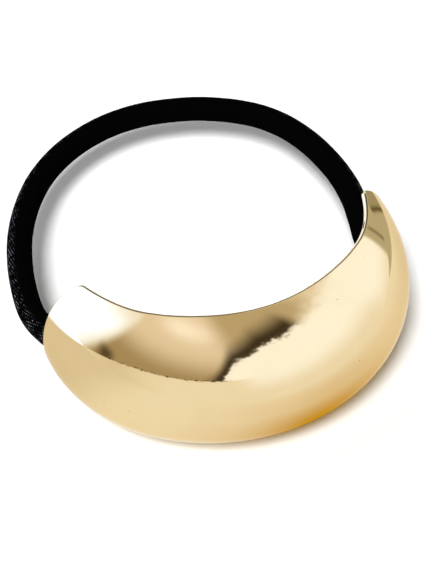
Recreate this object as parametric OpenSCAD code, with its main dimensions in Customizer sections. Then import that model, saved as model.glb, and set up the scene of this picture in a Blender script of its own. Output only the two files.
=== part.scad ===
/* [Shell] */
// Half the width of the rim, measured across the cuff, mm
rim_half_width = 24.5; // [22:0.5:30]
// Depth of the rim, from the line between the ends to its foremost point, mm
rim_depth = 22.5; // [19:0.5:27]
// Height of the shell in its middle, from the lower rim to the upper rim, mm
shell_height = 28; // [24:0.5:34]
// How far the crown stands out from the rim in the middle, mm
crown_depth = 11.5; // [10:0.25:14]
// How far the crown stands out at the ends, mm
end_crown_depth = 6.9; // [6:0.1:9]
// How far the rims stand out from an ellipse at the sides of the cuff, mm
side_fullness = 0.9; // [0:0.1:1.2]
// Thickness of the metal, mm
wall = 1; // [0.8:0.05:1.2]
// How far round the shell reaches to each side of its middle, degrees
reach = 83; // [76:1:88]
// Share of each half whose two rims run parallel
parallel_share = 0.5; // [0.4:0.05:0.6]
// Height that the shell has lost where it ends, mm
end_drop = 2.7; // [2:0.1:6]
// Share of each half that its rounded corners take up
corner_share = 0.1; // [0.06:0.01:0.2]
// Half angle of the arc that shapes the section, degrees: small is flat-sided, 89 is a half ellipse
section_arc = 45; // [25:1:70]

/* [Sockets] */
// Height of the sockets' bores over the lower rim, mm
socket_height = 12; // [10:0.5:14]
// Length of a socket, mm
socket_length = 5; // [4:0.25:6]
// Distance from a tip of the shell back to the mouth of its socket, mm
socket_setback = 3; // [2:0.25:4]
// Wall of a socket, mm
socket_wall = 0.6; // [0.5:0.05:0.8]
// Clear gap between the elastic and the bore of its socket, all round, mm
socket_clearance = 0.1; // [0.05:0.01:0.15]
// Clear gap between the elastic and the tip of the shell, mm
tip_clearance = 0.15; // [0.15:0.05:0.3]

/* [Elastic] */
// Diameter of the covered elastic, mm
elastic_diameter = 4.3; // [3.6:0.1:4.6]

/* [Hidden] */

half_height = shell_height / 2;

// Grid of the shell: steps along its length and from rim to rim
length_steps = 56;
rim_steps = 20;

// Shape of the rims: power of the drop towards the ends, and power of the rounded corners
drop_power = 1.6;
corner_power = 3;

// Share of each half at which the sides are fullest, and the spread of the fullness
side_share = 0.6;
side_spread = 0.2;

// Step over which a slope of the skin is measured
slope_step = 0.001;

// Share of the full half height at share u of the reach
function height_share(u) =
    1 - end_drop / shell_height * pow(max(0, abs(u) - parallel_share) / (1 - parallel_share), drop_power);

// Share of the reach at which the end is met, at share v of the local half height
function end_share(v) = 1 - corner_share * (1 - sqrt(1 - pow(abs(v), corner_power)));

// Height of the section's arc over its chord, 1 at the crown and 0 at the rim
function arc_share(s) =
    (sqrt(1 - pow(s * sin(section_arc), 2)) - cos(section_arc)) / (1 - cos(section_arc));

// Crown depth at share u of the reach
function crown_at(u) = crown_depth - (crown_depth - end_crown_depth) * u * u;

// How far the rims stand out from their ellipse at share u of the reach
function fullness_at(u) = side_fullness * exp(-pow((abs(u) - side_share) / side_spread, 2));

// Outward direction of the rim's ellipse in plan
function plan_normal(a) =
    let (n = [sin(a) / rim_half_width, -cos(a) / rim_depth]) n / norm(n);

// Point on the outer skin: u along the reach and v from the lower rim to the upper rim, both -1 to 1
function skin(u, v) =
    let (
        a = reach * u,
        s = height_share(u) * v,
        ellipse = [rim_half_width * sin(a), -rim_depth * cos(a)],
        full = fullness_at(u),
        out = ellipse + (full + (crown_at(u) - full) * arc_share(s)) * plan_normal(a)
    )
    [out[0], out[1], half_height * (1 + s)];

// Outward direction of the outer skin
function skin_normal(u, v) =
    let (
        along = skin(u + slope_step, v) - skin(u - slope_step, v),
        up = skin(u, v + slope_step) - skin(u, v - slope_step),
        n = cross(along, up)
    )
    n / norm(n);

// Point on a skin that lies depth under the outer one
function skin_under(u, v, depth) = skin(u, v) - depth * skin_normal(u, v);

// Steps across the section crowd towards the rims, where the corners turn
function row_share(j) = sin(180 * j / rim_steps - 90);
function column_share(i, v) = (2 * i / length_steps - 1) * end_share(v);

function skin_grid(depth) = [
    for (j = [0 : rim_steps], i = [0 : length_steps])
        let (v = row_share(j)) skin_under(column_share(i, v), v, depth)
];

row_points = length_steps + 1;
skin_points = row_points * (rim_steps + 1);

// Two triangles for the cell at column i and row j, turned over for the inner skin
function cell(i, j, first, turned) =
    let (
        a = first + j * row_points + i,
        b = a + 1,
        c = b + row_points,
        d = a + row_points
    )
    turned ? [[a, b, c], [a, c, d]] : [[a, c, b], [a, d, c]];

// Closed walk round the border of the grid
border = concat(
    [for (i = [0 : length_steps - 1]) i],
    [for (j = [0 : rim_steps - 1]) j * row_points + length_steps],
    [for (i = [length_steps : -1 : 1]) rim_steps * row_points + i],
    [for (j = [rim_steps : -1 : 1]) j * row_points]
);

// A socket follows the line from the shell's inside at its rear end to the inside of the tip
function inner_at_socket(u) =
    skin_under(u, (socket_height - half_height) / half_height / height_share(u), wall);

inner_tip = inner_at_socket(1);
step_back = inner_tip - inner_at_socket(1 - slope_step);
length_per_share = norm(step_back) / slope_step;
inner_rear = inner_at_socket(1 - (socket_setback + socket_length) / length_per_share);
lean = atan2(inner_tip[0] - inner_rear[0], inner_tip[1] - inner_rear[1]);

elastic_radius = elastic_diameter / 2;
bore_radius = elastic_radius + socket_clearance;
socket_radius = bore_radius + socket_wall;
inset = elastic_radius + tip_clearance;
axis_at_tip = [
    inner_tip[0] - inset * cos(lean),
    inner_tip[1] + inset * sin(lean),
    socket_height
];
cut_over = 0.3;

module shell_sheet() {
    last = len(border) - 1;
    faces_outer = [for (j = [0 : rim_steps - 1], i = [0 : length_steps - 1])
        each cell(i, j, 0, false)];
    faces_inner = [for (j = [0 : rim_steps - 1], i = [0 : length_steps - 1])
        each cell(i, j, skin_points, true)];
    faces_edge = [for (k = [0 : last])
        let (a = border[k], b = border[k == last ? 0 : k + 1])
        each [[a, b, b + skin_points], [a, b + skin_points, a + skin_points]]];
    polyhedron(
        points = concat(skin_grid(0), skin_grid(wall)),
        faces = concat(faces_outer, faces_inner, faces_edge)
    );
}

// Bar of the given radius on a socket's axis, from start to end behind the tip
module on_socket_axis(start, end, radius) {
    translate(axis_at_tip)
        rotate([90, 0, -lean])
            translate([0, 0, start])
                cylinder(h = end - start, r = radius, $fn = 48);
}

module socket(over, radius) {
    on_socket_axis(socket_setback - over, socket_setback + socket_length + over, radius);
}

module cuff_shell() {
    color([0.93, 0.82, 0.62])
        difference() {
            union() {
                shell_sheet();
                socket(0, socket_radius);
                mirror([1, 0, 0]) socket(0, socket_radius);
            }
            socket(cut_over, bore_radius);
            mirror([1, 0, 0]) socket(cut_over, bore_radius);
        }
}

// Route of the elastic's middle line, from the left socket round the back to the right one, mm
elastic_route = [
    [-27, -11.3, 12], [-27.2, -9, 12], [-27.45, -6.5, 12], [-27.65, -3.6, 11.9], [-28.95, 0, 11.4],
    [-29.7, 4, 11.3], [-29.2, 8.7, 11.3], [-27.5, 15.3, 11.2], [-24.8, 22, 11], [-21, 28.2, 10.8],
    [-16.6, 33.2, 10.7], [-11.7, 36.9, 10.6], [-6.6, 39.4, 10.5], [-1.5, 40.8, 10.5],
    [3.1, 41.2, 10.5], [7.4, 40.9, 10.5], [11.4, 40, 10.5], [15.1, 38.7, 10.6], [18.6, 36.9, 10.7],
    [22, 34.6, 10.8], [25.3, 31.5, 10.9], [28, 27.4, 11], [29.9, 22, 11.2], [30.8, 16.3, 11.4],
    [30.9, 10.8, 11.6], [30.2, 5.5, 11.8], [28.9, 0.5, 12], [27.75, -3.5, 12], [27.45, -6.5, 12],
    [27.2, -9, 12], [27, -11.3, 12]
];
elastic_sides = 8;

function route_heading(i) =
    let (
        last = len(elastic_route) - 1,
        h = elastic_route[min(i + 1, last)] - elastic_route[max(i - 1, 0)]
    )
    h / norm(h);

// Ring of points round the route at its point i
function route_ring(i) =
    let (
        heading = route_heading(i),
        side = cross(heading, [0, 0, 1]) / norm(cross(heading, [0, 0, 1])),
        above = cross(side, heading)
    )
    [for (k = [0 : elastic_sides - 1])
        elastic_route[i] + elastic_radius
            * (cos(360 * k / elastic_sides) * side + sin(360 * k / elastic_sides) * above)];

module elastic() {
    last = len(elastic_route) - 1;
    color([0.03, 0.03, 0.035])
        polyhedron(
            points = [for (i = [0 : last]) each route_ring(i)],
            faces = concat(
                [[for (k = [elastic_sides - 1 : -1 : 0]) k]],
                [for (i = [0 : last - 1], k = [0 : elastic_sides - 1])
                    let (
                        a = i * elastic_sides + k,
                        b = i * elastic_sides + (k + 1) % elastic_sides
                    )
                    each [[a, b, a + elastic_sides], [b, b + elastic_sides, a + elastic_sides]]],
                [[for (k = [0 : elastic_sides - 1]) last * elastic_sides + k]]
            )
        );
}

cuff_shell();
elastic();
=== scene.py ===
import math

import bmesh
import bpy
from mathutils import Matrix, Vector


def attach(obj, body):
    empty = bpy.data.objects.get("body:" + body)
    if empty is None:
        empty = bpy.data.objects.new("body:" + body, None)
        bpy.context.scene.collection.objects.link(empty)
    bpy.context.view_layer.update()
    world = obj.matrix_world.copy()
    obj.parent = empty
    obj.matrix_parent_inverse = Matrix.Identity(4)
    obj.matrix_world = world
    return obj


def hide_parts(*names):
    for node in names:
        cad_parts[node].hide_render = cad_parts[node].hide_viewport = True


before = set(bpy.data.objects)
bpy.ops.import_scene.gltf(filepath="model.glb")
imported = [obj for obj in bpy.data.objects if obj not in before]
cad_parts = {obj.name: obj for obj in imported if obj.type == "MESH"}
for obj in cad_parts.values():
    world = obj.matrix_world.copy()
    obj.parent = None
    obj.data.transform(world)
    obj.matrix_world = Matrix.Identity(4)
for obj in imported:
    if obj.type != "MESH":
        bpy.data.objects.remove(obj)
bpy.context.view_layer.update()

MM = 0.001
SCENE = bpy.context.scene
SCENE.view_settings.view_transform = "Standard"
SCENE.view_settings.look = "None"


# Camera

# The camera stands in front of the cuff, to its left and above it, angles in degrees
CAMERA_ELEVATION = 47.336
CAMERA_TURN = 26.365
CAMERA_ROLL = 1.575
CAMERA_DISTANCE = 374.9 * MM
CAMERA_AIM = Vector((0, 0, 14 * MM))
CAMERA_NEAR, CAMERA_FAR = 0.01, 20
FOCAL_PIXELS = 2266.9
PHOTO_HEIGHT = 579
# Width of the sensor in mm, which stands for the longer side of the photo
SENSOR = 36.0
# How far the aimed point lies left of the picture's middle and above it, in pixels
AIM_LEFT, AIM_UP = 5.7, 22.7


def photo_camera():
    e, t, r = map(math.radians, (CAMERA_ELEVATION, CAMERA_TURN, CAMERA_ROLL))
    right = Vector((math.cos(t), -math.sin(t), 0))
    up = Vector((math.sin(t) * math.sin(e), math.cos(t) * math.sin(e), math.cos(e)))
    back = right.cross(up)
    place = CAMERA_AIM + back * CAMERA_DISTANCE
    right, up = (
        right * math.cos(r) + up * math.sin(r),
        up * math.cos(r) - right * math.sin(r),
    )
    back = back - right * (AIM_LEFT / FOCAL_PIXELS) + up * (AIM_UP / FOCAL_PIXELS)
    back.normalize()
    right = (right - back * right.dot(back)).normalized()
    up = back.cross(right)
    data = bpy.data.cameras.new("camera")
    data.sensor_width = SENSOR
    data.lens = FOCAL_PIXELS / PHOTO_HEIGHT * SENSOR
    data.clip_start, data.clip_end = CAMERA_NEAR, CAMERA_FAR
    camera = bpy.data.objects.new("camera", data)
    SCENE.collection.objects.link(camera)
    turned = Matrix((right, up, back)).transposed().to_4x4()
    camera.matrix_world = Matrix.Translation(place) @ turned
    SCENE.camera = camera


photo_camera()


# Small helpers


def make_piece(name, bm, *materials):
    mesh = bpy.data.meshes.new(name)
    bm.to_mesh(mesh)
    bm.free()
    mesh.polygons.foreach_set("use_smooth", [True] * len(mesh.polygons))
    piece = bpy.data.objects.new(name, mesh)
    SCENE.collection.objects.link(piece)
    for material in materials:
        mesh.materials.append(material)
    return piece


def new_material(name, colour, metallic, roughness):
    made = bpy.data.materials.new(name)
    made.diffuse_color = (*colour, 1)
    made.metallic = metallic
    made.roughness = roughness
    return made


class Finish:
    """A material's or a world's node tree, filled with short calls."""

    def __init__(self, holder):
        holder.use_nodes = True
        self.tree = holder.node_tree
        self.tree.nodes.clear()

    def node(self, kind, **settings):
        made = self.tree.nodes.new(kind)
        for key, value in settings.items():
            setattr(made, key, value)
        return made

    def join(self, value, socket):
        if isinstance(value, bpy.types.NodeSocket):
            self.tree.links.new(value, socket)
        else:
            socket.default_value = value

    def math(self, operation, *values):
        made = self.node("ShaderNodeMath", operation=operation)
        for value, socket in zip(values, made.inputs):
            self.join(value, socket)
        return made.outputs[0]

    def product(self, first, *others):
        for other in others:
            first = self.math("MULTIPLY", first, other)
        return first

    def dot(self, first, second):
        made = self.node("ShaderNodeVectorMath", operation="DOT_PRODUCT")
        self.join(first, made.inputs[0])
        self.join(second, made.inputs[1])
        return made.outputs["Value"]

    def split(self, vector):
        made = self.node("ShaderNodeSeparateXYZ")
        self.join(vector, made.inputs[0])
        return tuple(made.outputs)

    def object_place(self):
        return self.node("ShaderNodeTexCoord").outputs["Object"]

    def ramp(self, value, low, high, start=0.0, end=1.0, smooth=True):
        """From start, where the value is low, to end, where it is high."""
        made = self.node(
            "ShaderNodeMapRange",
            interpolation_type="SMOOTHSTEP" if smooth else "LINEAR",
            clamp=True,
        )
        self.join(value, made.inputs["Value"])
        for name, number in zip(
            ("From Min", "From Max", "To Min", "To Max"), (low, high, start, end)
        ):
            self.join(number, made.inputs[name])
        return made.outputs["Result"]

    def band(self, value, low, high, soft):
        """1 between low and high, with soft limits."""
        below = self.math("SUBTRACT", high, value)
        return self.product(self.ramp(value, low - soft, low + soft), self.ramp(below, -soft, soft))

    def hill(self, value, centre, spread):
        """A smooth bump of height 1 at the centre."""
        off = self.math("DIVIDE", self.math("SUBTRACT", value, float(centre)), float(spread))
        return self.math("EXPONENT", self.product(off, off, -1.0))

    def bearing(self, right, ahead):
        """Degrees from straight ahead towards the right."""
        return self.product(self.math("ARCTAN2", right, ahead), 180 / math.pi)

    def turn_from(self, azimuth, centre):
        off = self.math("SUBTRACT", azimuth, float(centre))
        return self.math("WRAP", off, 180.0, -180.0)

    def hill_round(self, azimuth, centre, spread):
        """A smooth bump of height 1 at an azimuth."""
        return self.hill(self.turn_from(azimuth, centre), 0, spread)

    def blend(self, share, first, second):
        made = self.node("ShaderNodeMix", data_type="RGBA", clamp_factor=True)
        self.join(share, made.inputs["Factor"])
        for value, name in ((first, "A"), (second, "B")):
            socket = [s for s in made.inputs if s.name == name and s.type == "RGBA"][0]
            if not isinstance(value, bpy.types.NodeSocket):
                value = (*value, 1.0)
            self.join(value, socket)
        return [s for s in made.outputs if s.type == "RGBA"][0]

    def noise(self, place, scale, detail, roughness=0.5):
        made = self.node("ShaderNodeTexNoise")
        self.join(place, made.inputs["Vector"])
        made.inputs["Scale"].default_value = scale
        made.inputs["Detail"].default_value = detail
        made.inputs["Roughness"].default_value = roughness
        return made.outputs["Fac"]

    def bump(self, height, distance, strength, normal=None):
        made = self.node("ShaderNodeBump")
        made.inputs["Strength"].default_value = strength
        made.inputs["Distance"].default_value = distance
        self.join(height, made.inputs["Height"])
        if normal is not None:
            self.join(normal, made.inputs["Normal"])
        return made.outputs["Normal"]

    def surface(self, **inputs):
        made = self.node("ShaderNodeBsdfPrincipled")
        for name, value in inputs.items():
            self.join(value, made.inputs[name.replace("_", " ")])
        out = self.node("ShaderNodeOutputMaterial")
        self.tree.links.new(made.outputs[0], out.inputs["Surface"])

    def shine(self, kind, out_kind, light):
        """The whole surface of a lit sheet or of a world."""
        made = self.node(kind)
        self.join(light, made.inputs["Color"])
        out = self.node(out_kind)
        self.tree.links.new(made.outputs[0], out.inputs["Surface"])


# Elastic

# Middle line of the elastic, from the left socket round the back to the right one, mm
ELASTIC_ROUTE = [
    (-27, -11.3, 12), (-27.2, -9, 12), (-27.45, -6.5, 12), (-27.65, -3.6, 11.9),
    (-28.95, 0, 11.4), (-29.7, 4, 11.3), (-29.2, 8.7, 11.3), (-27.5, 15.3, 11.2),
    (-24.8, 22, 11), (-21, 28.2, 10.8), (-16.6, 33.2, 10.7), (-11.7, 36.9, 10.6),
    (-6.6, 39.4, 10.5), (-1.5, 40.8, 10.5), (3.1, 41.2, 10.5), (7.4, 40.9, 10.5),
    (11.4, 40, 10.5), (15.1, 38.7, 10.6), (18.6, 36.9, 10.7), (22, 34.6, 10.8),
    (25.3, 31.5, 10.9), (28, 27.4, 11), (29.9, 22, 11.2), (30.8, 16.3, 11.4),
    (30.9, 10.8, 11.6), (30.2, 5.5, 11.8), (28.9, 0.5, 12), (27.75, -3.5, 12),
    (27.45, -6.5, 12), (27.2, -9, 12), (27, -11.3, 12),
]
ELASTIC_DIAMETER = 4.3 * MM
ELASTIC_SIDES = 32
RING_SPACING = 0.5 * MM
STEPS_PER_SPAN = 24


def smooth_line(points, per_span):
    """Points on one smooth curve through all the given ones."""
    ends = [2 * points[0] - points[1], *points, 2 * points[-1] - points[-2]]
    line = []
    for a, b, c, d in zip(ends, ends[1:], ends[2:], ends[3:]):
        for step in range(per_span):
            t = step / per_span
            line.append(
                0.5
                * (
                    2 * b
                    + (c - a) * t
                    + (2 * a - 5 * b + 4 * c - d) * t * t
                    + (3 * b - a - 3 * c + d) * t * t * t
                )
            )
    return line + [points[-1]]


def even_line(line, spacing):
    """The same curve with points at even distances, and its length."""
    along = [0.0]
    for a, b in zip(line, line[1:]):
        along.append(along[-1] + (b - a).length)
    count = round(along[-1] / spacing)
    even, k = [], 0
    for step in range(count + 1):
        want = along[-1] * step / count
        while k < len(line) - 2 and along[k + 1] < want:
            k += 1
        share = (want - along[k]) / (along[k + 1] - along[k])
        even.append(line[k].lerp(line[k + 1], min(1.0, share)))
    return even, along[-1]


def covered_cord(name, line, radius, sides, material):
    """A round cord: one ring of edges drawn out along the line, capped at both ends. Its map
    runs round the cord from the top over the loop's outer side, and along the cord."""
    bm = bmesh.new()
    around = bm.loops.layers.uv.new("cover")
    ring_of = bm.verts.layers.int.new("ring")
    side_of = bm.verts.layers.int.new("side")

    def stand(k):
        heading = (line[min(k + 1, len(line) - 1)] - line[max(k - 1, 0)]).normalized()
        side = heading.cross(Vector((0, 0, 1))).normalized()
        above = side.cross(heading)
        turned = Matrix((side, above, -heading)).transposed().to_4x4()
        return Matrix.Translation(line[k]) @ turned

    ring = bmesh.ops.create_circle(bm, segments=sides, radius=radius)["verts"]
    for k, vert in enumerate(ring):
        vert[side_of] = k
    first = list(ring)
    bmesh.ops.transform(bm, matrix=stand(0), verts=ring)
    edges = list(bm.edges)
    for k in range(1, len(line)):
        made = bmesh.ops.extrude_edge_only(bm, edges=edges)["geom"]
        ring = [g for g in made if isinstance(g, bmesh.types.BMVert)]
        edges = [
            g
            for g in made
            if isinstance(g, bmesh.types.BMEdge) and all(v in set(ring) for v in g.verts)
        ]
        bmesh.ops.transform(bm, matrix=stand(k) @ stand(k - 1).inverted(), verts=ring)
        for vert in ring:
            vert[ring_of] = k
    for face in bm.faces:
        seam = {v[side_of] for v in face.verts} == {0, sides - 1}
        for loop in face.loops:
            side = loop.vert[side_of]
            if seam and side == 0:
                side = sides
            loop[around].uv = (side / sides, loop.vert[ring_of] / (len(line) - 1))
    for end in (first, ring):
        bmesh.ops.contextual_create(bm, geom=end)
    bmesh.ops.recalc_face_normals(bm, faces=bm.faces)
    return make_piece(name, bm, material)


# The cover's ribs run round the cord at a slant, and each is a row of small stitches
RIB_PITCH = 0.46 * MM
RIBS_ROUND = 17.0
STITCHES_ROUND = 26.0
STITCHES_PER_RIB = 0.35
# Height of a rib between two stitches, as a share of its height at a stitch
STITCH_DIP = 0.55
# Height from which a rib counts as a crest
CREST_FROM = 0.72
COVER_RELIEF, COVER_RELIEF_STRENGTH = 0.10 * MM, 0.4
# Scales of two noises, per metre, and how much the finer one adds to the relief
UNEVEN_SCALE, FUZZ_SCALE = 900.0, 2600.0
FUZZ_SHARE = 0.35
# The stitches on the loop's outer side are painted lighter, a painted sheen for the glints that
# lit stitches catch. Shares of the way round the cord: the middle of the painted sheen, a little
# over the loop's outermost line, and how far from there it starts to fade and has faded
OUTER_MIDDLE = 0.20
FADE_FROM, FADE_TO = 0.08, 0.16
FADED_SHARE = 0.01
DULL_STITCH_SHARE = 0.15
# The light thread's colour is a painted sheen
DARK_THREAD, PAINTED_SHEEN_THREAD = (0.0010, 0.0010, 0.0010), (0.24, 0.24, 0.25)
THREAD_SHEEN = (1.0, 0.88, 0.70, 1.0)
VALLEY_ROUGHNESS, CREST_ROUGHNESS = 0.7, 0.28


def knitted_cover(length):
    material = new_material("knitted black cover", (0.010, 0.010, 0.011), 0.0, 0.6)
    f = Finish(material)
    round_share, along, _ = f.split(f.node("ShaderNodeUVMap", uv_map="cover").outputs[0])
    ribs = length / RIB_PITCH
    rib_count = f.math("MULTIPLY_ADD", along, ribs, f.product(round_share, RIBS_ROUND))
    rib = f.math("ABSOLUTE", f.math("SINE", f.product(rib_count, math.pi)))
    stitch_count = f.math(
        "MULTIPLY_ADD", along, -ribs * STITCHES_PER_RIB, f.product(round_share, STITCHES_ROUND)
    )
    stitch_wave = f.math("SINE", f.product(stitch_count, 2 * math.pi))
    height = f.product(rib, f.ramp(stitch_wave, -1.0, 1.0, STITCH_DIP, 1.0, smooth=False))
    place = f.object_place()
    uneven = f.noise(place, UNEVEN_SCALE, detail=3.0)
    fuzz = f.noise(place, FUZZ_SCALE, detail=1.0)
    crest = f.product(f.ramp(height, CREST_FROM, 1.0), f.ramp(uneven, 0.42, 0.62))
    from_outer = f.math("ABSOLUTE", f.math("SUBTRACT", round_share, OUTER_MIDDLE))
    # painted sheen: the lighter stitches on the loop's outer side
    light = f.product(
        crest,
        f.ramp(from_outer, FADE_FROM, FADE_TO, 1.0, FADED_SHARE),
        f.ramp(fuzz, 0.42, 0.56, DULL_STITCH_SHARE, 1.0),
    )
    relief = f.math("ADD", height, f.product(fuzz, FUZZ_SHARE))
    f.surface(
        Base_Color=f.blend(light, DARK_THREAD, PAINTED_SHEEN_THREAD),
        Roughness=f.ramp(crest, 0.0, 1.0, VALLEY_ROUGHNESS, CREST_ROUGHNESS, smooth=False),
        Specular_IOR_Level=f.ramp(light, 0.0, 1.0, 0.0, 1.0, smooth=False),
        Specular_Tint=THREAD_SHEEN,
        Normal=f.bump(relief, COVER_RELIEF, COVER_RELIEF_STRENGTH),
    )
    return material


def make_elastic():
    route = [Vector(p) * MM for p in ELASTIC_ROUTE]
    line, length = even_line(smooth_line(route, STEPS_PER_SPAN), RING_SPACING)
    elastic = covered_cord(
        "covered_elastic", line, ELASTIC_DIAMETER / 2, ELASTIC_SIDES, knitted_cover(length)
    )
    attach(elastic, "root")
    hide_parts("elastic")


make_elastic()


# Shell, of the same named sizes as its solid

RIM_HALF_WIDTH = 24.5 * MM
RIM_DEPTH = 22.5 * MM
HALF_HEIGHT = 14.0 * MM
CROWN_DEPTH = 11.5 * MM
END_CROWN_DEPTH = 6.9 * MM
SIDE_FULLNESS = 0.9 * MM
SIDE_SHARE = 0.6
SIDE_SPREAD = 0.2
WALL = 1.0 * MM
REACH = math.radians(83)
PARALLEL_SHARE = 0.5
END_DROP = 2.7 * MM
DROP_POWER = 1.6
CORNER_SHARE = 0.1
CORNER_POWER = 3
SECTION_ARC = math.radians(45)
SHELL_COLUMNS, SHELL_ROWS = 200, 66
# The grid's own corners sit in the middle of the sheet's rounded corners
CORNER_V = 0.93
# Shares of the reach and of the half height that the strip along the rim takes up
STRIP_U, STRIP_V = 0.011, 0.026
RIM_ROUNDING = 0.36 * MM
RIM_STEPS = 4
RIM_ANGLE = math.radians(50)


def height_share(u):
    past = max(0.0, abs(u) - PARALLEL_SHARE) / (1 - PARALLEL_SHARE)
    return 1 - END_DROP / (2 * HALF_HEIGHT) * past**DROP_POWER


def end_share(v):
    return 1 - CORNER_SHARE * (1 - math.sqrt(max(0.0, 1 - abs(v) ** CORNER_POWER)))


def top_share(u):
    """Height at which the rounded corner is met: the end_share curve read the other way."""
    past = max(0.0, abs(u) - 1 + CORNER_SHARE) / CORNER_SHARE
    return (1 - past * past) ** (1 / CORNER_POWER)


def arc_share(s):
    flat = math.cos(SECTION_ARC)
    return (math.sqrt(1 - (s * math.sin(SECTION_ARC)) ** 2) - flat) / (1 - flat)


def skin(u, v):
    """Point on the outer skin: u runs along the reach and v from rim to rim."""
    a = REACH * u
    s = height_share(u) * v
    normal = Vector((math.sin(a) / RIM_HALF_WIDTH, -math.cos(a) / RIM_DEPTH))
    normal.normalize()
    crown = CROWN_DEPTH - (CROWN_DEPTH - END_CROWN_DEPTH) * u * u
    full = SIDE_FULLNESS * math.exp(-(((abs(u) - SIDE_SHARE) / SIDE_SPREAD) ** 2))
    bulge = full + (crown - full) * arc_share(s)
    return Vector(
        (
            RIM_HALF_WIDTH * math.sin(a) + bulge * normal[0],
            -RIM_DEPTH * math.cos(a) + bulge * normal[1],
            HALF_HEIGHT * (1 + s),
        )
    )


def pressed_sheet():
    """The bowed sheet without its thickness: a flat grid and a strip drawn out along its rim are
    pressed onto the outer skin. The strip leaves room for the rounding of the rims."""
    bm = bmesh.new()
    bmesh.ops.create_grid(bm, x_segments=SHELL_COLUMNS, y_segments=SHELL_ROWS, size=1.0)
    inside = set(bm.verts)
    rim = [edge for edge in bm.edges if edge.is_boundary]
    bmesh.ops.extrude_edge_only(bm, edges=rim)
    for vert in bm.verts:
        x, y = (max(-1.0, min(1.0, c)) for c in vert.co[:2])
        u, v = x * end_share(CORNER_V * y), y * top_share(end_share(CORNER_V) * x)
        if vert in inside:
            u, v = u * (1 - STRIP_U), v * (1 - STRIP_V)
        vert.co = skin(u, v)
    return bm


SOCKET_HEIGHT = 12.0 * MM
SOCKET_LENGTH = 5.0 * MM
SOCKET_SETBACK = 3.0 * MM
SOCKET_WALL = 0.6 * MM
SOCKET_CLEARANCE = 0.1 * MM
SOCKET_EDGE = 0.12 * MM
SOCKET_STEPS = 48
TIP_CLEARANCE = 0.15 * MM
SOCKET_BORE_RADIUS = ELASTIC_DIAMETER / 2 + SOCKET_CLEARANCE
SOCKET_RADIUS = SOCKET_BORE_RADIUS + SOCKET_WALL
SLOPE_STEP = 0.001


def inner_at_socket(u):
    """Point on the shell's inside at the sockets' height."""
    v = (SOCKET_HEIGHT - HALF_HEIGHT) / HALF_HEIGHT / height_share(u)
    along = skin(u + SLOPE_STEP, v) - skin(u - SLOPE_STEP, v)
    up = skin(u, v + SLOPE_STEP) - skin(u, v - SLOPE_STEP)
    return skin(u, v) - along.cross(up).normalized() * WALL


def socket_axis():
    """Where the right socket's axis passes the tip, and how it leans from the line to the back."""
    tip = inner_at_socket(1)
    length_per_share = (tip - inner_at_socket(1 - SLOPE_STEP)).length / SLOPE_STEP
    rear = inner_at_socket(1 - (SOCKET_SETBACK + SOCKET_LENGTH) / length_per_share)
    lean = math.atan2(tip.x - rear.x, tip.y - rear.y)
    inset = ELASTIC_DIAMETER / 2 + TIP_CLEARANCE
    x, y = tip.x - inset * math.cos(lean), tip.y + inset * math.sin(lean)
    return Vector((x, y, SOCKET_HEIGHT)), lean


def tube_socket(side):
    """A short plain tube, spun from its wall's outline, on the left (-1) or right (1)."""
    bm = bmesh.new()
    mouth, inner_end = -SOCKET_SETBACK, -SOCKET_SETBACK - SOCKET_LENGTH
    corners = [
        bm.verts.new(corner)
        for corner in (
            (SOCKET_BORE_RADIUS, 0, mouth),
            (SOCKET_RADIUS, 0, mouth),
            (SOCKET_RADIUS, 0, inner_end),
            (SOCKET_BORE_RADIUS, 0, inner_end),
        )
    ]
    outline = [
        bm.edges.new((corners[k], corners[(k + 1) % len(corners)]))
        for k in range(len(corners))
    ]
    bmesh.ops.spin(
        bm,
        geom=corners + outline,
        axis=(0, 0, 1),
        cent=(0, 0, 0),
        angle=math.tau,
        steps=SOCKET_STEPS,
        use_merge=True,
    )
    bmesh.ops.recalc_face_normals(bm, faces=bm.faces)
    tip, lean = socket_axis()
    upright = Matrix.Rotation(-math.pi / 2, 4, "X")
    turned = Matrix.Rotation(-side * lean, 4, "Z")
    place = Matrix.Translation((side * tip.x, tip.y, tip.z))
    bmesh.ops.transform(bm, matrix=place @ turned @ upright, verts=bm.verts)
    return bm


# Scales of the patterns in the metal, per metre
CLOUD_SCALE, WAVE_SCALE, PIT_SCALE = 120.0, 45.0, 210.0
# Radius of a pit and of its soft edge, as shares of the pits' spacing
PIT_RADIUS, PIT_EDGE = 0.02, 0.035
PIT_DEPTH, PIT_STRENGTH = 0.01 * MM, 0.6
PIT_DARKNESS, PIT_ROUGHNESS = 0.6, 0.3
LIGHT_GOLD, DEEP_GOLD = (0.835, 0.660, 0.375), (0.815, 0.640, 0.358)
PIT_BROWN = (0.30, 0.21, 0.10)
GRAZING_TINT = (0.95, 0.87, 0.72, 1.0)


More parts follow.
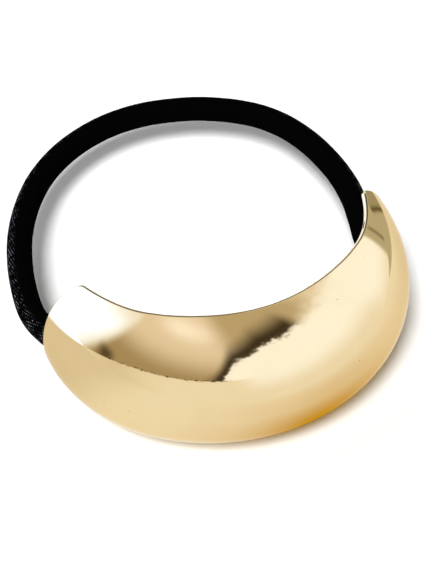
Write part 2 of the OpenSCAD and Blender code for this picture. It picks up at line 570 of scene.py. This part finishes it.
def polished_gold(name, roughness, wave):
    """Pale gold with faint clouds, slow waves of the given height and a few tiny pits."""
    material = new_material(name, LIGHT_GOLD, 1.0, roughness)
    f = Finish(material)
    place = f.object_place()
    cloud = f.noise(place, CLOUD_SCALE, detail=4.0, roughness=0.6)
    slow_wave = f.noise(place, WAVE_SCALE, detail=1.0)
    cells = f.node("ShaderNodeTexVoronoi", feature="F1")
    f.join(place, cells.inputs["Vector"])
    cells.inputs["Scale"].default_value = PIT_SCALE
    pit = f.ramp(cells.outputs["Distance"], PIT_RADIUS, PIT_EDGE, 1.0, 0.0)
    tone = f.blend(f.ramp(cloud, 0.3, 0.7), DEEP_GOLD, LIGHT_GOLD)
    haze = f.ramp(cloud, 0.35, 0.75, roughness * 0.7, roughness * 1.4)
    swell = f.bump(slow_wave, wave, 1.0)
    f.surface(
        Base_Color=f.blend(f.product(pit, PIT_DARKNESS), tone, PIT_BROWN),
        Metallic=1.0,
        Specular_Tint=GRAZING_TINT,
        Roughness=f.math("MULTIPLY_ADD", pit, PIT_ROUGHNESS, haze),
        Normal=f.bump(f.math("SUBTRACT", 1.0, pit), PIT_DEPTH, PIT_STRENGTH, swell),
    )
    return material


gold = polished_gold("mirror polished pale gold", roughness=0.05, wave=0.02 * MM)
inner_gold = polished_gold("plain pale gold inside", roughness=0.16, wave=0.03 * MM)


def make_shell():
    shell = make_piece("pressed_shell", pressed_sheet(), gold, inner_gold)
    thickness = shell.modifiers.new("sheet", "SOLIDIFY")
    thickness.thickness = WALL
    thickness.offset = -1
    thickness.use_even_offset = True
    thickness.material_offset = 1
    rounding = shell.modifiers.new("rounded rims", "BEVEL")
    rounding.width = RIM_ROUNDING
    rounding.segments = RIM_STEPS
    rounding.limit_method = "ANGLE"
    rounding.angle_limit = RIM_ANGLE
    rounding.harden_normals = True
    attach(shell, "root")
    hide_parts("cuff_shell")


def make_socket(name, side):
    socket = make_piece(name, tube_socket(side), inner_gold)
    edge = socket.modifiers.new("broken edges", "BEVEL")
    edge.width = SOCKET_EDGE
    edge.segments = 2
    edge.limit_method = "ANGLE"
    edge.harden_normals = True
    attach(socket, "root")
    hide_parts("cuff_shell")


make_shell()
make_socket("left_socket", -1)
make_socket("right_socket", 1)


# Floor

FLOOR_HALF = 1.2
FLOOR_WHITE = (0.93, 0.93, 0.93, 1)
PLAIN_WHITE, MATT = (0.9, 0.9, 0.9), 0.9
# How far over the floor the sheet lies that only mirrors show
SHEET_LIFT = 0.02 * MM


def level_square(lift):
    bm = bmesh.new()
    bmesh.ops.create_grid(bm, x_segments=8, y_segments=8, size=FLOOR_HALF)
    bmesh.ops.translate(bm, vec=(0, 0, lift), verts=bm.verts)
    return bm


def pale_floor():
    material = new_material("pale floor", PLAIN_WHITE, 0.0, MATT)
    f = Finish(material)
    f.surface(Base_Color=FLOOR_WHITE, Roughness=MATT, Specular_IOR_Level=0.1)
    floor = make_piece("floor", level_square(0), material)
    floor.visible_glossy = False


pale_floor()


# What the polished metal mirrors, and the cover's sheen faintly. Azimuth 0 is +Y and 90 is +X. A
# glowing sheet lies under the cuff, painted with the light and shade of a floor, the cuff's
# painted shadow among them, and ends in a straight edge behind it. In front it rises as a slanting
# card, and over the card is a dim warm room with large soft windows. Angles are in degrees, and
# places on the sheet in mm.

WHITE_CARD = (1.03, 1.03, 1.03)
DIM_CARD = (0.86, 0.83, 0.76)
GOLDEN_LIGHT = (0.68, 0.40, 0.0)
LEFT_WINDOW = (1.35, 1.75, 2.9)
LEFT_WINDOW_RIM = (1.10, 1.20, 1.46)
BACK_WALL = (1.25, 1.45, 2.0)
GREY_WALL = (0.57, 0.56, 0.46)
SHADED_WALL = (0.42, 0.41, 0.31)
WALL_LINE = (0.16, 0.13, 0.07)
WALL_LEDGE = (0.30, 0.27, 0.18)
LOW_ROOM, HIGH_ROOM = (0.46, 0.38, 0.25), (0.93, 0.87, 0.84)
CEILING_GLOW = (1.20, 1.22, 1.42)
WARM_CORNER = (0.60, 0.53, 0.40)
LOW_PANE, HIGH_PANE = (1.03, 1.03, 1.06), (1.21, 1.34, 1.68)
DARK_BEAM = (0.06, 0.045, 0.028)
CARD_EDGE_SHADOW = (0.06, 0.045, 0.03)
DARK_PATCH = (0.13, 0.10, 0.06)
DARK_BACK = (0.10, 0.10, 0.10)
DIM_CEILING = (0.30, 0.30, 0.30)

# Bearings on the sheet are counted about these points of the line x = 0
SHEET_MIDDLE, SHEET_LEFT_MIDDLE = -10.0, 5.0
# The sheet's back edge: its y from left to right, the x between which it steps back, and its slant
BACK_EDGE_Y, BACK_EDGE_X, BACK_EDGE_SLANT = (19, 36), (0, 80), 0.12
# Azimuth and half width of the line where the grey wall behind the sheet turns a corner
WALL_TURN, WALL_LINE_WIDTH = 67, 0.9
# Hills: azimuth and spread. Ramps: start and end, and the share at each where it isn't 0 and 1
LEFT_DIM_FROM, LEFT_DIM_TO = (-130, -100), (-60, -20, 1.0, 0.0)
RIGHT_DIM, RIGHT_DIM_REACH = (78, 22), (45, 170, 0.8, 0.0)
SHADE, SHADE_FADE, SHADE_SHARE = (150, 44), 95.0, 0.68
CLOSE_SHADE, CLOSE_SHADE_REACH = (165, 40), (18, 46, 0.5, 0.0)
# Where, by their x, the window behind the sheet ends and the grey wall starts
WINDOW_ENDS, GREY_STARTS = (-45, -20), (25, 45)
# How soft the back edge is, before it and past it
SOFT_EDGE = (-2, 3)


def sheet_light(f, x, y):
    """Painted light and shade of the sheet, and light of what stands behind its back edge."""
    forward = f.math("SUBTRACT", y, SHEET_MIDDLE)
    azimuth = f.bearing(x, forward)
    reach = f.math("SQRT", f.math("ADD", f.product(x, x), f.product(forward, forward)))
    # dim towards the left, and a little at the right end
    left_way = f.bearing(x, f.math("SUBTRACT", y, SHEET_LEFT_MIDDLE))
    left = f.product(f.ramp(left_way, *LEFT_DIM_FROM), f.ramp(left_way, *LEFT_DIM_TO))
    right = f.product(f.hill_round(azimuth, *RIGHT_DIM), f.ramp(reach, *RIGHT_DIM_REACH))
    light = f.blend(f.math("MAXIMUM", left, right), WHITE_CARD, DIM_CARD)
    # in the cuff's own shade, at the right in front, the light on the sheet has come off the gold
    fading = f.math("EXPONENT", f.math("DIVIDE", reach, -SHADE_FADE))
    shade = f.product(fading, f.hill_round(azimuth, *SHADE), SHADE_SHARE)
    close = f.product(f.hill_round(azimuth, *CLOSE_SHADE), f.ramp(reach, *CLOSE_SHADE_REACH))
    light = f.blend(f.math("ADD", shade, close), light, GOLDEN_LIGHT)
    # behind the edge: the window at the left, a pale wall and, at the right, a grey wall
    back_edge = f.ramp(x, *BACK_EDGE_X, *BACK_EDGE_Y)
    past_edge = f.math("MULTIPLY_ADD", x, BACK_EDGE_SLANT, f.math("SUBTRACT", y, back_edge))
    behind = f.blend(f.ramp(x, *WINDOW_ENDS), LEFT_WINDOW, BACK_WALL)
    grey = f.blend(f.ramp(azimuth, WALL_TURN - 1, WALL_TURN + 1), SHADED_WALL, GREY_WALL)
    grey = f.blend(f.hill(azimuth, WALL_TURN, WALL_LINE_WIDTH), grey, WALL_LINE)
    behind = f.blend(f.ramp(x, *GREY_STARTS), behind, grey)
    return f.blend(f.ramp(past_edge, *SOFT_EDGE), light, behind)


def mirrored_sheet():
    """The sheet as it is mirrored, glowing with painted light and shade; the camera sees the plain
    floor instead.
    """
    material = new_material("white sheet", PLAIN_WHITE, 0.0, MATT)
    f = Finish(material)
    x, y = (f.product(metres, 1 / MM) for metres in f.split(f.object_place())[:2])
    # the sheet glows with its painted light and shade, the cuff's painted shadow among them
    f.shine("ShaderNodeEmission", "ShaderNodeOutputMaterial", sheet_light(f, x, y))
    sheet = make_piece("mirrored_sheet", level_square(SHEET_LIFT), material)
    for rays in ("camera", "diffuse", "transmission", "volume_scatter", "shadow"):
        setattr(sheet, "visible_" + rays, False)


mirrored_sheet()


class Room(Finish):
    """The world's node tree, with the direction of each ray as two angles."""

    def __init__(self, world):
        super().__init__(world)
        self.way = self.node("ShaderNodeTexCoord").outputs["Generated"]
        x, y, z = self.split(self.way)
        self.up = self.product(self.math("ARCSINE", z), 180 / math.pi)
        self.azimuth = self.bearing(x, y)
        # azimuth counted from the front, towards the left
        self.front = self.around(180)

    def around(self, centre):
        return self.turn_from(self.azimuth, centre)

    def window(self, centre, half, low, high, soft_side, soft_edge):
        """A soft upright rectangle: its middle and half width, and its lower and upper edge."""
        sides = self.band(self.around(centre), -half, half, soft_side)
        return self.product(sides, self.band(self.up, low, high, soft_edge))


# Heights between which the room grows lighter
ROOM_RISE = (24, 54)
# Azimuth and height of a glow near the ceiling, each with its spread
GLOW_AROUND, GLOW_UP = (-150, 17), (65, 7)
# Soft upright rectangles: middle azimuth, half width, lower and upper edge, and how soft the sides
# and the two edges are
WARM_CORNER_AT = (154, 34, 52, 120, 10, 6)
WINDOW_RIM_AT = (-93, 42, -5, 59, 5, 6)
LEFT_WINDOW_AT = (-70, 50, -14, 44, 7, 12)
DARK_PATCH_AT = (-96, 5, 2, 17, 4, 5)
GREY_WALL_AT = (64, 20, -10, 32, 2, 6)
BACK_WALL_AT = (4, 42, -10, 22, 8, 2)
DARK_BACK_AT = (4, 50, 24, 120, 4, 4)
DIM_CEILING_AT = (-20, 75, 62, 120, 8, 3)
# Heights between which the ceiling starts on every side
CEILING_FROM = (77, 81)


def dim_room(room):
    """The room grows lighter towards the ceiling, less so at the right."""
    light = room.blend(room.ramp(room.up, *ROOM_RISE), LOW_ROOM, HIGH_ROOM)
    around, over = room.hill_round(room.azimuth, *GLOW_AROUND), room.hill(room.up, *GLOW_UP)
    light = room.blend(room.product(around, over), light, CEILING_GLOW)
    return room.blend(room.window(*WARM_CORNER_AT), light, WARM_CORNER)


# The broad window's light turns from its low to its high colour over these heights, and at the
# right, up to PANE_LIFT degrees lower
PANE_RISE = (4, 30)
PANE_LIFT, PANE_LIFT_AT, PANE_LIFT_OVER = 12.0, 100, (2, 14)


def window_pane(room):
    """Light of the broad window, bluer towards its top."""
    lift = room.ramp(room.around(PANE_LIFT_AT), *PANE_LIFT_OVER, PANE_LIFT, 0.0)
    height = room.math("ADD", room.up, lift)
    return room.blend(room.ramp(height, *PANE_RISE), LOW_PANE, HIGH_PANE)


# Upper edge of the broad window, from right to left: a slow fall, and then a step down. Each is
# given as two heights and the two angles from the front between which it turns
WINDOW_TOP, WINDOW_FALL_OVER = (51, 43), (-14, 8)
WINDOW_STEP, WINDOW_STEP_OVER = (0, 24), (6, 24)
# Its right and left end and their softness, and how blurred its upper edge is from right to left
WINDOW_SPAN = (-100, 30, 3)
WINDOW_BLUR, WINDOW_BLUR_OVER = (7.0, 1.2), (-60, -30)
# The beam's ends, its soft lower edge and the height over which it fades
BEAM_SPAN = (-42, 23, 5)
BEAM_EDGE, BEAM_FADE = (-4, 2), (4, 17, 1.0, 0.0)
# Scale of the ragged edge's noise, and how far the edge goes up and down in all
RAGGED_SCALE, RAGGED_HEIGHT = 16.0, 12.0


def broad_window(room, light, pane):
    """The broad window in front at the right, under a dark ragged beam."""
    ragged = room.noise(room.way, RAGGED_SCALE, detail=5.0)
    ragged = room.math("MULTIPLY_ADD", ragged, RAGGED_HEIGHT, -RAGGED_HEIGHT / 2)
    edge = room.math(
        "SUBTRACT",
        room.ramp(room.front, *WINDOW_FALL_OVER, *WINDOW_TOP, smooth=False),
        room.ramp(room.front, *WINDOW_STEP_OVER, *WINDOW_STEP),
    )
    over_edge = room.math("SUBTRACT", room.up, edge)
    over_window = room.math("ADD", over_edge, ragged)
    thickness = room.product(
        room.ramp(over_window, *BEAM_EDGE), room.ramp(over_edge, *BEAM_FADE)
    )
    beam = room.product(room.band(room.front, *BEAM_SPAN), thickness)
    light = room.blend(beam, light, DARK_BEAM)
    blur = room.ramp(room.front, *WINDOW_BLUR_OVER, *WINDOW_BLUR)
    under = room.ramp(over_window, room.product(blur, -1.0), blur, 1.0, 0.0)
    return room.blend(room.product(room.band(room.front, *WINDOW_SPAN), under), light, pane)


# The left window's leaning side: its azimuth at the horizon, and how far it leans, in degrees of
# azimuth for each degree of height
LEANING_FOOT, LEANING_SLOPE = -82, 0.48
RIM_SOFT, BRIGHT_SOFT = (-5, 4), (-1, 11)
# A narrow upright ledge of the grey wall: azimuth and spread, and lower and upper end
LEDGE_AROUND, LEDGE_UP = (77, 1.3), (-10, 14, 3)


def sides_and_back(room, light):
    """The bright window at the left, the grey wall at the right end and the room's dark back."""
    leaning = room.math("MULTIPLY_ADD", room.up, LEANING_SLOPE, room.around(LEANING_FOOT))
    rim = room.product(room.ramp(leaning, *RIM_SOFT), room.window(*WINDOW_RIM_AT))
    bright = room.product(room.ramp(leaning, *BRIGHT_SOFT), room.window(*LEFT_WINDOW_AT))
    ledge = room.product(
        room.hill_round(room.azimuth, *LEDGE_AROUND), room.band(room.up, *LEDGE_UP)
    )
    for share, colour in (
        (rim, LEFT_WINDOW_RIM),
        (bright, LEFT_WINDOW),
        (room.window(*DARK_PATCH_AT), DARK_PATCH),
        (room.window(*GREY_WALL_AT), GREY_WALL),
        (ledge, WALL_LEDGE),
        (room.window(*BACK_WALL_AT), BACK_WALL),
        (room.window(*DARK_BACK_AT), DARK_BACK),
        (room.window(*DIM_CEILING_AT), DIM_CEILING),
        (room.ramp(room.up, *CEILING_FROM), DIM_CEILING),
    ):
        light = room.blend(share, light, colour)
    return light


# The plane through the card's upper edge: how far it is tilted, and to which azimuth
CARD_TILT, CARD_TURN = math.radians(27.5), math.radians(8)
# How soft the card's edge is from right to left, where the card turns from pane to white, and the
# azimuth and spread of its dim part
CARD_SOFT, CARD_SOFT_OVER = (0.16, 0.008), (-25, 12)
CARD_TO_PANE = (14, -6)
CARD_DIM = (-102, 20)
# The dark line of painted shadow along the card's edge: its lower and upper limit and their
# softness, its two ends and their softness, and the noise that breaks it
LINE_ACROSS, LINE_ALONG = (-0.012, 0.022, 0.01), (14, 82, 3)
LINE_BREAKS_SCALE, LINE_BREAKS = 34.0, (0.53, 0.60)


def slanting_card(room, light, pane):
    """The card that rises in front, with a broken dark line of painted shadow along its upper edge.
    """
    square_to_edge = (
        math.sin(CARD_TILT) * math.sin(CARD_TURN),
        math.sin(CARD_TILT) * math.cos(CARD_TURN),
        math.cos(CARD_TILT),
    )
    height = room.dot(room.way, square_to_edge)
    soft = room.ramp(room.front, *CARD_SOFT_OVER, *CARD_SOFT)
    over_card = room.ramp(height, room.product(soft, -1.0), soft)
    card = room.blend(room.hill_round(room.azimuth, *CARD_DIM), WHITE_CARD, DIM_CARD)
    card = room.blend(room.ramp(room.front, *CARD_TO_PANE), card, pane)
    light = room.blend(over_card, card, light)
    # painted shadow along the card's upper edge
    line = room.product(room.band(height, *LINE_ACROSS), room.band(room.front, *LINE_ALONG))
    breaks = room.noise(room.way, LINE_BREAKS_SCALE, detail=4.0)
    broken = room.ramp(breaks, *LINE_BREAKS)
    return room.blend(room.product(line, broken), light, CARD_EDGE_SHADOW)


def studio_world():
    """The card and the room over the sheet: they are mirrored, and light nothing else."""
    world = bpy.data.worlds.new("studio")
    SCENE.world = world
    world.cycles_visibility.diffuse = False
    room = Room(world)
    pane = window_pane(room)
    light = broad_window(room, dim_room(room), pane)
    light = slanting_card(room, sides_and_back(room, light), pane)
    room.shine("ShaderNodeBackground", "ShaderNodeOutputWorld", light)


studio_world()


# Lamps, which light the floor and the cover: the room is only mirrored


def soft_lamp(name, azimuth, elevation, spread, strength):
    """A far, even light: spread is how wide it looks from the floor, in degrees."""
    a, e = math.radians(azimuth), math.radians(elevation)
    way = Vector((math.sin(a) * math.cos(e), math.cos(a) * math.cos(e), math.sin(e)))
    data = bpy.data.lights.new(name, "SUN")
    data.angle = math.radians(spread)
    data.energy = strength
    lamp = bpy.data.objects.new(name, data)
    SCENE.collection.objects.link(lamp)
    turned = way.to_track_quat("Z", "Y").to_matrix().to_4x4()
    lamp.matrix_world = Matrix.Translation(way) @ turned
    lamp.visible_glossy = False


soft_lamp("key", azimuth=-140, elevation=56, spread=14, strength=3.8)
soft_lamp("back", azimuth=-45, elevation=50, spread=50, strength=1.25)
